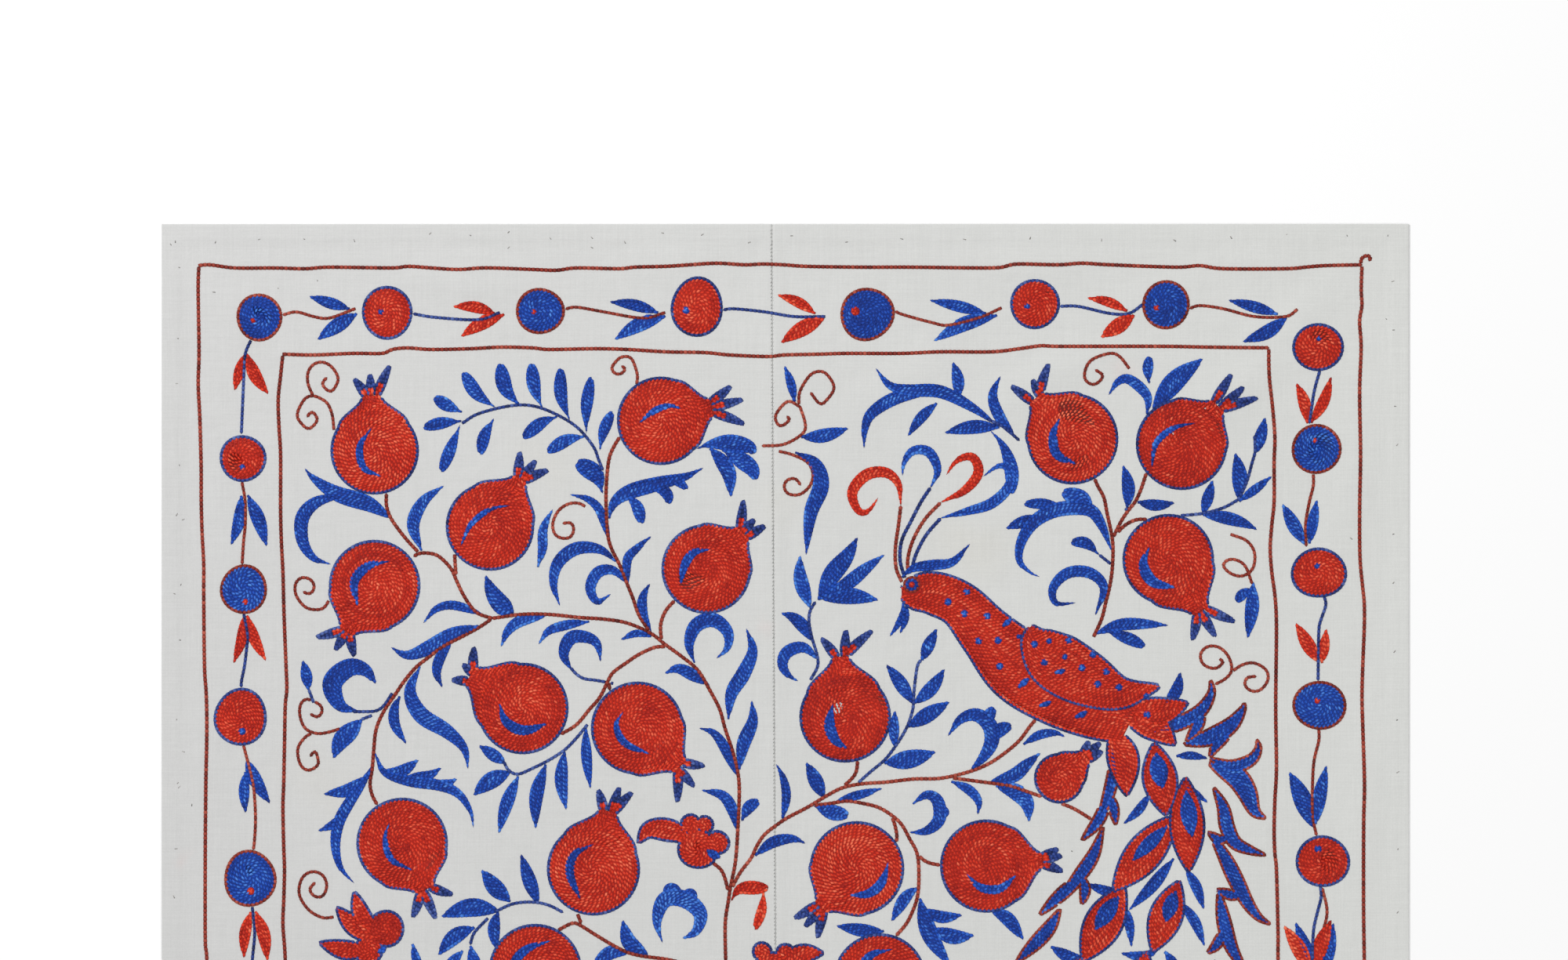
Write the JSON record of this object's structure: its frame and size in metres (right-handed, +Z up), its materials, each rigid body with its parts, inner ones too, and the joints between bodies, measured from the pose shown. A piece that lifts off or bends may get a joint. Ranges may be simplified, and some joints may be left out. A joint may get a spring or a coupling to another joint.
{
  "type": "suzani embroidered textile",
  "caption": "Flat rectangular cotton and silk cover of two seamed panels, embroidered in chain stitch with pomegranates, vines, a bird and a flower border.",
  "frame": {"origin": "on the surface it lies on, under the middle of the cloth", "axes": "+X across the cloth to its right side as one reads the design, +Y to its top hem, +Z up out of the embroidered face"},
  "size_m": [1.4, 2.1, 0.0049],
  "materials": {
    "ground_cloth": "matte plain weave, slightly slubbed",
    "red_silk": "soft floss silk in chain stitch, low sheen",
    "blue_silk": "soft floss silk in chain stitch, low sheen",
    "madder_silk": "dark red silk for lines and tendrils",
    "navy_silk": "dark blue silk for outlines and stems"
  },
  "bodies": {
    "root": {"panel_left": "ground_cloth", "panel_right": "ground_cloth"}
  },
  "joints": []
}
